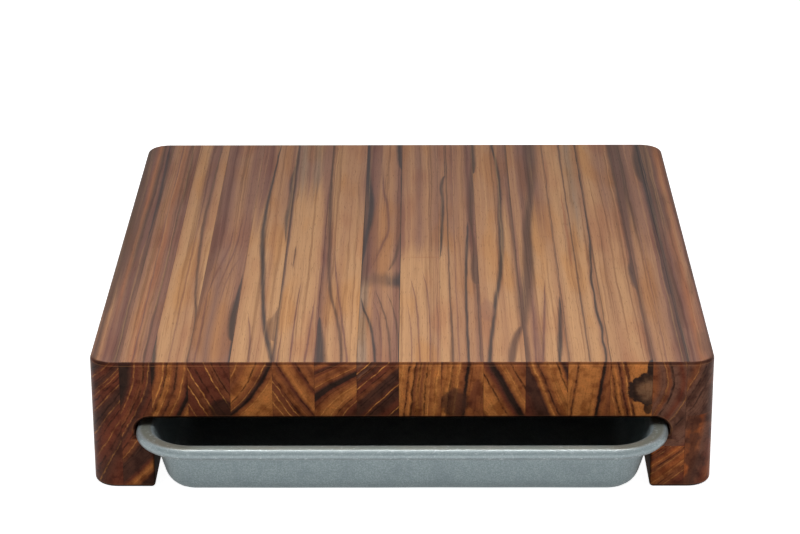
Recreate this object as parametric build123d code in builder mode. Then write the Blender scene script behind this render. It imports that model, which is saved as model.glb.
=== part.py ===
"""Teak cutting board on two side rails, with one sheet-metal tray that slides out from under it.

Millimetres, +Z up. The front, where the tray stands proud, faces -Y. The origin is on the resting plane,
under the middle of the whole object, tray included.
"""

from build123d import *
from math import cos, radians, tan
import os

# ---------------------------------------------------------------- tray: driving dimensions
TRAY_WIDTH = 241.3
TRAY_LENGTH = 330.2
TRAY_HEIGHT = 27.8
SHEET = 1.0
RIM_CORNER_RADIUS = 27.3
RIM_OVERHANG = 8.2
WALL_LEAN = 17.0
FOOT_RADIUS = 13.0
FLOOR_CORNER_RADIUS = 1.2
SHOULDER_RADIUS = 1.9
CURL_RADIUS = 1.6
CURL_WIDTH = 5.6
WIRE_DIAMETER = 2.8
WIRE_FIT = 0.1

# ---------------------------------------------------------------- how the tray sits in the board
TRAY_PROTRUSION = 26.9
TRAY_SETBACK = 1.5
TRAY_SEAT_GAP = 0.3
TRAY_HEADROOM = 3.8
TRAY_GROUND_GAP = 2.8
WALL_CLEARANCE = 0.55
GROOVE_SIDE_CLEARANCE = 1.2
GROOVE_END_CLEARANCE = 0.4
GROOVE_CROWN_RADIUS = 7.6

# ---------------------------------------------------------------- board
DECK_THICKNESS = 27.6
RAIL_WIDTH = 28.5
CORNER_RADIUS = 11.3
EDGE_ROUND = 1.8

# ---------------------------------------------------------------- how the board is glued up
STAVE_WIDTH = 19.05
LEFT_OUTER_WIDTH = 14.1
RIGHT_OUTER_WIDTH = 13.1
RIGHT_OUTER_SEAM = 35.8
RIGHT_LEDGE_DEPTH = 4.6

# ---------------------------------------------------------------- worked out from the above
bead_height = WIRE_DIAMETER + 2 * WIRE_FIT + 2 * SHEET
rim_top = TRAY_GROUND_GAP + TRAY_HEIGHT
rim_bottom = rim_top - bead_height
ledge_height = rim_bottom - TRAY_SEAT_GAP
deck_underside = rim_top + TRAY_HEADROOM
board_height = deck_underside + DECK_THICKNESS

wall_at_rim = TRAY_WIDTH / 2 - RIM_OVERHANG
bay_half_width = wall_at_rim + WALL_CLEARANCE
right_side = bay_half_width + RAIL_WIDTH
left_side = -right_side

board_depth = TRAY_LENGTH + TRAY_SETBACK - TRAY_PROTRUSION
front_y = (TRAY_PROTRUSION - board_depth) / 2
back_y = front_y + board_depth
board_middle_y = (front_y + back_y) / 2
tray_front_y = front_y - TRAY_PROTRUSION
tray_back_y = tray_front_y + TRAY_LENGTH
tray_middle_y = (tray_front_y + tray_back_y) / 2

os.makedirs("parts", exist_ok=True)


def save(solid, name):
    """Label one finished piece and write it under its own name."""
    solid.label = name
    export_step(solid, f"parts/{name}.step")


# ================================================================ the glued-up board, before it is split
# The groove follows the tray's own outline in plan, so its rounded blind ends are what stop the tray.
groove_half_width = TRAY_WIDTH / 2 + GROOVE_SIDE_CLEARANCE
groove_corner_radius = RIM_CORNER_RADIUS + GROOVE_SIDE_CLEARANCE
groove_back_y = tray_back_y + GROOVE_END_CLEARANCE
groove_front_y = front_y - 2 * groove_corner_radius
groove_height = deck_underside - ledge_height
groove_crown = min(GROOVE_CROWN_RADIUS, groove_height - WIRE_DIAMETER / 2)

with BuildPart() as groove:
    with BuildSketch(Plane.XY.offset(ledge_height)):
        with Locations((0, (groove_front_y + groove_back_y) / 2)):
            RectangleRounded(2 * groove_half_width, groove_back_y - groove_front_y, groove_corner_radius)
    extrude(amount=groove_height)
    fillet(groove.faces().sort_by(Axis.Z)[-1].edges(), groove_crown)

with BuildPart() as board:
    with BuildSketch():
        with Locations((0, board_middle_y)):
            RectangleRounded(right_side - left_side, board_depth, CORNER_RADIUS)
    extrude(amount=board_height)
    with BuildSketch():
        with Locations((0, board_middle_y)):
            Rectangle(2 * bay_half_width, board_depth)
    extrude(amount=deck_underside, mode=Mode.SUBTRACT)
    add(groove.part, mode=Mode.SUBTRACT)
    top_edges = board.faces().sort_by(Axis.Z)[-1].edges()
    foot_edges = board.faces().group_by(Axis.Z)[0].edges()
    front_edges = board.faces().sort_by(Axis.Y)[0].edges()
    back_edges = board.faces().sort_by(Axis.Y)[-1].edges()
    ledge_edges = board.faces().filter_by(Axis.Z).filter_by(
        lambda face: abs(face.center().Z - ledge_height) < SHEET / 10
    ).edges().filter_by(Axis.Y).filter_by(lambda edge: abs(abs(edge.center().X) - bay_half_width) < SHEET / 10)
    fillet(ShapeList(set(top_edges + foot_edges + front_edges + back_edges + ledge_edges)), EDGE_ROUND)


def board_slice(name, left, right, low=0.0, high=board_height):
    """Write the part of the board between two X values and two heights as one stick of wood."""
    with BuildPart() as stick:
        add(board.part)
        with Locations(((left + right) / 2, board_middle_y, (low + high) / 2)):
            Box(right - left, board_depth, high - low, mode=Mode.INTERSECT)
    save(stick.part, name)


# ================================================================ deck staves
# All staves are one width but the left-most, which takes up what is left of the deck.
deck_width = 2 * bay_half_width
stave_count = round(deck_width / STAVE_WIDTH)
first_seam = bay_half_width - (stave_count - 1) * STAVE_WIDTH
seams = [-bay_half_width] + [first_seam + number * STAVE_WIDTH for number in range(stave_count)]
for number in range(stave_count):
    board_slice(f"deck_stave_{number + 1:02d}", seams[number], seams[number + 1])

# ================================================================ side rails
left_seam = left_side + LEFT_OUTER_WIDTH
board_slice("left_rail_outer", left_side, left_seam)
board_slice("left_rail_inner", left_seam, -bay_half_width)

right_seam = right_side - RIGHT_OUTER_WIDTH
ledge_seam = ledge_height - RIGHT_LEDGE_DEPTH
board_slice("right_rail_outer_upper", right_seam, right_side, low=RIGHT_OUTER_SEAM)
board_slice("right_rail_outer_lower", right_seam, right_side, high=RIGHT_OUTER_SEAM)
board_slice("right_rail_inner_upper", bay_half_width, right_seam, low=ledge_seam)
board_slice("right_rail_ledge", bay_half_width, right_seam, high=ledge_seam)

# ================================================================ tray pan
# One sheet: floor, foot bend, leaning wall, shoulder, and a rim curled round the wire.
tray_side = TRAY_WIDTH / 2
sheet_top = rim_top - SHEET / 2
sheet_bottom = rim_top - TRAY_HEIGHT + SHEET / 2
curl_outside = tray_side - SHEET / 2
curl_bottom = rim_bottom + SHEET / 2
curl_end_x = tray_side - CURL_WIDTH

lean = radians(WALL_LEAN)
wall_middle = wall_at_rim - SHEET / 2 / cos(lean)
shoulder_x = wall_middle + (sheet_top - rim_bottom) * tan(lean)
foot_x = wall_middle - (rim_bottom - sheet_bottom) * tan(lean)

# The floor is a flat plate with small corners. The foot bend stays outside it.
floor_inset = RIM_CORNER_RADIUS - FLOOR_CORNER_RADIUS
floor_edge_x = tray_side - floor_inset
foot_reach_per_radius = tan((radians(90) - lean) / 2)
foot_radius = min(FOOT_RADIUS, 0.95 * (foot_x - floor_edge_x) / foot_reach_per_radius)


def rim_loop(inset):
    """Draw the rim's rounded rectangle, that far inside its outer edge, from the middle of the right side."""
    side = tray_side - inset
    for end in (tray_middle_y + TRAY_LENGTH / 2 - inset, tray_middle_y - TRAY_LENGTH / 2 + inset):
        half = [(side, tray_middle_y), (side, end), (-side, end), (-side, tray_middle_y)]
        FilletPolyline(*half, radius=RIM_CORNER_RADIUS - inset)


with BuildPart() as tray_pan:
    with BuildLine(Plane.XY.offset(rim_top)) as pan_path:
        rim_loop(SHEET / 2)
    with BuildSketch(Plane.XZ.offset(-tray_middle_y)):
        with BuildLine():
            FilletPolyline(
                (floor_edge_x, sheet_bottom),
                (foot_x, sheet_bottom),
                (shoulder_x, sheet_top),
                (curl_outside, sheet_top),
                (curl_outside, curl_bottom),
                (curl_end_x, curl_bottom),
                radius=[foot_radius, SHOULDER_RADIUS, CURL_RADIUS, CURL_RADIUS],
            )
        trace(line_width=SHEET)
    sweep(path=pan_path.line)
    with BuildSketch(Plane.XY.offset(rim_top - TRAY_HEIGHT)):
        with Locations((0, tray_middle_y)):
            RectangleRounded(2 * floor_edge_x, TRAY_LENGTH - 2 * floor_inset, FLOOR_CORNER_RADIUS)
    extrude(amount=SHEET)
save(tray_pan.part, "tray_pan")

# ================================================================ steel wire inside the rim
wire_inset = SHEET + WIRE_FIT + WIRE_DIAMETER / 2
wire_height = rim_top - wire_inset

with BuildPart() as rim_wire:
    with BuildLine(Plane.XY.offset(wire_height)) as wire_path:
        rim_loop(wire_inset)
    with BuildSketch(Plane.XZ.offset(-tray_middle_y)):
        with Locations((tray_side - wire_inset, wire_height)):
            Circle(WIRE_DIAMETER / 2)
    sweep(path=wire_path.line)
save(rim_wire.part, "rim_wire")
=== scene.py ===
"""Teak cutting board on two side rails, with a rolled-rim sheet tray that slides out from under it.

Metres, +Z up, and the front faces -Y. The sticks of the glued-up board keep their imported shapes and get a
solid teak finish each, whose rings run on from the top into the end grain. The tray is a finer pressed
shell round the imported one. Sizes of a finish, such as where a streak lies, are in millimetres.
"""

import logging
import math
from dataclasses import dataclass, field, replace
from enum import Enum
from typing import Sequence, Union

import bpy
from mathutils import Matrix, Vector


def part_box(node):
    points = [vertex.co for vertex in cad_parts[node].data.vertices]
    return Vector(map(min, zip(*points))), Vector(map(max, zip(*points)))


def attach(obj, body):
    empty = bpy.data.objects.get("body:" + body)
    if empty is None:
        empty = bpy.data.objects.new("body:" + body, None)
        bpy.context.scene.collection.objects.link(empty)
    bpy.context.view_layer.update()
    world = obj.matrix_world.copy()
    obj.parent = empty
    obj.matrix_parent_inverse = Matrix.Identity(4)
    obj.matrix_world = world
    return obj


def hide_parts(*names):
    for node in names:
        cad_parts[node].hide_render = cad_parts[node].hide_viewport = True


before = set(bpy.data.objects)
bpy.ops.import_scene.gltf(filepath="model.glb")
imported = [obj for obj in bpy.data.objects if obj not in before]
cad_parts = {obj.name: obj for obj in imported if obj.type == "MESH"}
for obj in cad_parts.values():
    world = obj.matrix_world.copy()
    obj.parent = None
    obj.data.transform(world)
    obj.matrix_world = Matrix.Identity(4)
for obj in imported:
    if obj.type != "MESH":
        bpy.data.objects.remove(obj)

log = logging.getLogger("cutting_board")

MM = 0.001
WHITE = (1.0, 1.0, 1.0, 1.0)

RGBA = tuple[float, float, float, float]
Pair = tuple[float, float]
Place = tuple[float, float, float]
Value = Union["Signal", float, Sequence[float]]


def linear(code: str) -> RGBA:
    """Turn an sRGB colour into the linear one that shaders take.

    Args:
        code: Six hexadecimal digits.

    Returns:
        Linear red, green, blue and an alpha of 1.
    """
    parts = [int(code[place:place + 2], 16) / 255 for place in (0, 2, 4)]
    light = [part / 12.92 if part <= 0.04045 else ((part + 0.055) / 1.055) ** 2.4 for part in parts]
    return (light[0], light[1], light[2], 1.0)


# ================================================================ shader graphs
class Signal:
    """One output socket of a shader graph. Operators on it add the Math nodes that they stand for."""

    def __init__(self, graph: "ShaderGraph", socket: bpy.types.NodeSocket) -> None:
        """Wrap a socket of that graph."""
        self.graph = graph
        self.socket = socket

    def maths(self, operation: str, *operands: Value, **settings: object) -> "Signal":
        """Add a Math node.

        Args:
            operation: The node's operation.
            operands: Its inputs, in order.
            settings: Its other settings.

        Returns:
            The node's result.
        """
        settings = {"operation": operation, **settings}
        return self.graph.add("ShaderNodeMath", settings, dict(enumerate(operands)))

    def out(self, name: str) -> "Signal":
        """Return another output of the same node."""
        return Signal(self.graph, self.socket.node.outputs[name])

    def __add__(self, other: Value) -> "Signal":
        """Add."""
        return self.maths("ADD", self, other)

    __radd__ = __add__

    def __sub__(self, other: Value) -> "Signal":
        """Subtract."""
        return self.maths("SUBTRACT", self, other)

    def __rsub__(self, other: Value) -> "Signal":
        """Subtract from a number."""
        return self.maths("SUBTRACT", other, self)

    def __mul__(self, other: Value) -> "Signal":
        """Multiply."""
        return self.maths("MULTIPLY", self, other)

    __rmul__ = __mul__

    def __truediv__(self, other: Value) -> "Signal":
        """Divide."""
        return self.maths("DIVIDE", self, other)

    def __rtruediv__(self, other: Value) -> "Signal":
        """Divide a number."""
        return self.maths("DIVIDE", other, self)

    def __pow__(self, other: Value) -> "Signal":
        """Raise to a power."""
        return self.maths("POWER", self, other)

    def __abs__(self) -> "Signal":
        """Drop the sign."""
        return self.maths("ABSOLUTE", self)

    def least(self, other: Value) -> "Signal":
        """Return the lesser of the two."""
        return self.maths("MINIMUM", self, other)

    def most(self, other: Value) -> "Signal":
        """Return the greater of the two."""
        return self.maths("MAXIMUM", self, other)

    def root(self) -> "Signal":
        """Return the square root."""
        return self.maths("SQRT", self)

    def held(self) -> "Signal":
        """Return the value held between 0 and 1."""
        return self.maths("ADD", self, 0.0, use_clamp=True)

    def rise(self, low: float, high: float) -> "Signal":
        """Rise smoothly from 0 to 1 as the value goes from low to high.

        Args:
            low: Where the rise starts.
            high: Where it ends. It may be below low, and the value then falls.

        Returns:
            The smooth step.
        """
        ends = {"Value": self, "From Min": low, "From Max": high}
        return self.graph.add("ShaderNodeMapRange", {"interpolation_type": "SMOOTHSTEP"}, ends)


class ShaderGraph:
    """The node tree of a material or a world, and the one way in which nodes are added to it."""

    def __init__(self, tree: bpy.types.NodeTree) -> None:
        """Empty the tree."""
        self.tree = tree
        self.tree.nodes.clear()

    def add(self, kind: str, settings: dict[str, object] | None = None,
            inputs: dict[str | int, Value] | None = None) -> Signal:
        """Add one node.

        Args:
            kind: The node's type.
            settings: Its settings, set first. "stops" are a ramp's (place, colour) pairs, and "pairs" a
                curve's (place, value) ones.
            inputs: A value or a signal for each socket, by name or number.

        Returns:
            The first output that the settings leave open.
        """
        node = self.tree.nodes.new(kind)
        for name, value in (settings or {}).items():
            if name == "stops":
                self._set_stops(node.color_ramp, value)
            elif name == "pairs":
                self._set_pairs(node.mapping, value)
            else:
                setattr(node, name, value)
        for name, value in (inputs or {}).items():
            if isinstance(value, Signal):
                self.tree.links.new(value.socket, node.inputs[name])
            else:
                node.inputs[name].default_value = value
        return Signal(self, next((socket for socket in node.outputs if socket.enabled), None))

    @staticmethod
    def _set_stops(ramp: bpy.types.ColorRamp, stops: Sequence[tuple[float, Sequence[float]]]) -> None:
        """Give a ramp its stops.

        Args:
            ramp: The ramp.
            stops: Its (place, colour) pairs, in order.
        """
        while len(ramp.elements) > 1:
            ramp.elements.remove(ramp.elements[-1])
        for number, (place, colour) in enumerate(stops):
            element = ramp.elements[0] if number == 0 else ramp.elements.new(place)
            element.position = place
            element.color = colour

    @staticmethod
    def _set_pairs(mapping: bpy.types.CurveMapping, pairs: Sequence[tuple[float, float]]) -> None:
        """Lay a curve through its points. It stays level beyond the outer ones.

        Args:
            mapping: The curve.
            pairs: Its (place, value) points, in order.
        """
        mapping.extend = "HORIZONTAL"
        points = mapping.curves[0].points
        first, *middle, last = pairs
        points[0].location, points[-1].location = first, last
        for pair in middle:
            points.new(*pair)
        mapping.update()

    def vector(self, x: Value, y: Value, z: Value) -> Signal:
        """Join three values into a vector."""
        return self.add("ShaderNodeCombineXYZ", {}, {"X": x, "Y": y, "Z": z})

    def noise(self, place: Signal, scale: float, detail: float, roughness: float = 0.5) -> Signal:
        """Add a noise.

        Args:
            place: Where it is read.
            scale: Its frequency.
            detail: How many finer noises are added to it.
            roughness: How strong these are.

        Returns:
            About 0 to 1, with its middle at one half.
        """
        inputs = {"Vector": place, "Scale": scale, "Detail": detail, "Roughness": roughness}
        return self.add("ShaderNodeTexNoise", {"noise_dimensions": "3D"}, inputs)

    def course(self, along: Signal, points: Sequence[tuple[float, float]], reach: float, low: float,
               high: float) -> Signal:
        """Follow a smooth curve through given points.

        Args:
            along: Where on the curve, from 0 to reach.
            points: (place along, value) pairs in order.
            reach: The greatest place along.
            low: The least value that the curve can hold.
            high: The greatest value that it can hold.

        Returns:
            The value there.
        """
        span = high - low
        pairs = [(place / reach, (value - low) / span) for place, value in points]
        share = self.add("ShaderNodeFloatCurve", {"pairs": pairs}, {"Value": along / reach})
        return share * span + low

    def blend(self, amount: Value, first: Value, second: Value, mode: str = "MIX") -> Signal:
        """Mix two colours.

        Args:
            amount: How much of the second colour, from 0 to 1.
            first: The colour underneath.
            second: The colour on top.
            mode: How it is laid on.

        Returns:
            The mixed colour.
        """
        settings = {"data_type": "RGBA", "blend_type": mode, "clamp_factor": True}
        first_socket, second_socket = 6, 7
        inputs = {0: amount, first_socket: first, second_socket: second}
        return self.add("ShaderNodeMix", settings, inputs)

    def split(self, vector: Signal) -> tuple[Signal, Signal, Signal]:
        """Take a vector apart into its three values."""
        parts = self.add("ShaderNodeSeparateXYZ", {}, {"Vector": vector})
        return parts.out("X"), parts.out("Y"), parts.out("Z")

    def bump(self, relief: Signal, strength: float, distance: float) -> Signal:
        """Return the normal of a surface with that relief, which is so many metres deep."""
        settings = {"Strength": strength, "Distance": distance, "Height": relief}
        return self.add("ShaderNodeBump", {}, settings)

    def end_in(self, inputs: dict[str, Value]) -> None:
        """End a material's graph in a Principled shader with these inputs."""
        shader = self.add("ShaderNodeBsdfPrincipled", {}, inputs)
        self.add("ShaderNodeOutputMaterial", {}, {"Surface": shader})


@dataclass(frozen=True)
class Tint:
    """A linear colour to lay over another one.

    band holds the values of some signal where the tint starts to show and where it shows in full.
    """

    colour: RGBA
    strength: float = 1.0
    band: Pair = (0.0, 1.0)
    mode: str = "MIX"

    def shown(self, signal: Signal) -> Signal:
        """Return how far the tint shows, from 0 to 1, by the signal that its band is for."""
        return signal.rise(*self.band)

    def over(self, colour: Value, mask: Signal) -> Signal:
        """Lay it over a colour by a mask from 0 to 1."""
        return mask.graph.blend(mask * self.strength, colour, self.colour, self.mode)


def paint(code: str, strength: float, low: float = 0.0, high: float = 1.0) -> Tint:
    """Return a tint of that sRGB colour which covers what is under it."""
    return Tint(linear(code), strength, (low, high))


def glaze(code: str, strength: float, low: float, high: float) -> Tint:
    """Return a tint of that sRGB colour which multiplies what is under it."""
    return Tint(linear(code), strength, (low, high), "MULTIPLY")


def new_material(name: str) -> tuple[bpy.types.Material, ShaderGraph]:
    """Make an empty node material.

    Args:
        name: The material's name.

    Returns:
        The material and its graph.
    """
    material = bpy.data.materials.new(name)
    material.use_nodes = True
    return material, ShaderGraph(material.node_tree)


def dress(piece: bpy.types.Object, material: bpy.types.Material) -> None:
    """Give a piece that one material."""
    piece.data.materials.clear()
    piece.data.materials.append(material)


# ================================================================ teak
class Tone(Enum):
    """Tones of oiled teak: the colour along the grain, and the deeper one that end grain soaks up."""

    HONEY = ("b68961", "bf773e")
    TAN = ("a67958", "9c5b32")
    SMOKE = ("957862", "8a6347")
    AMBER = ("9d6747", "a2582d")
    BROWN = ("8b6350", "82492c")
    RUSSET = ("775146", "6e3826")
    DUSK = ("84645a", "724c3c")
    PLUM = ("604639", "4e2f24")
    COAL = ("383333", "32211a")

    def shown(self, is_end: bool) -> RGBA:
        """Return the colour of end grain, or else the one along the grain."""
        return linear(self.value[1 if is_end else 0])


Figure = tuple[tuple[float, Tone], ...]


def figure(notes: str) -> Figure:
    """Read the stops of a figure.

    Args:
        notes: For each stop, its ring's place in mm and its tone's first letter. Spaces part the stops.

    Returns:
        The stops as (place, tone) pairs.
    """
    by_letter = {tone.name[0]: tone for tone in Tone}
    return tuple((float(note[:-1]), by_letter[note[-1]]) for note in notes.split())


@dataclass(frozen=True)
class Vein:
    """A dark line along a stick's top.

    Its course runs from front to back through (back from the front face, across from the left seam,
    width) places in mm. It fades out where its width comes to nothing.
    """

    course: tuple[Place, ...]
    tone: Tone
    strength: float = 0.85


@dataclass(frozen=True)
class Burr:
    """A local patch in a stick: a knot's shadow, a flame or a blotch.

    centre and reach are (across from the left seam, back from the front face, down from the stick's top).
    """

    centre: Place
    reach: Place
    tone: Tone
    strength: float
    blur: float = 0.3


@dataclass(frozen=True)
class Stick:
    """How the rings of one stick of teak run, and what they are coloured.

    A ring's place is measured in mm from the left seam, at the top front edge. end_slope and end_bow say
    how far a ring moves left for each mm down the end grain. The end figure colours the end grain. Along
    the grain the near figure gives way to the far one about change_at mm from the front face, with tips
    about flame mm long.
    """

    end: Figure
    near: Figure
    far: Figure
    end_slope: float = 0.1
    end_bow: float = 0.0
    change_at: float = 150.0
    change_over: float = 90.0
    flame: float = 200.0
    light_lines: tuple[float, ...] = ()
    dark_lines: tuple[float, ...] = ()
    shine: float = 0.6
    veins: tuple[Vein, ...] = ()
    burrs: tuple[Burr, ...] = ()
    patchy: float = 0.0


A, B, C, D, H = Tone.AMBER, Tone.BROWN, Tone.COAL, Tone.DUSK, Tone.HONEY
P, R, S, T = Tone.PLUM, Tone.RUSSET, Tone.SMOKE, Tone.TAN

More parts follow.
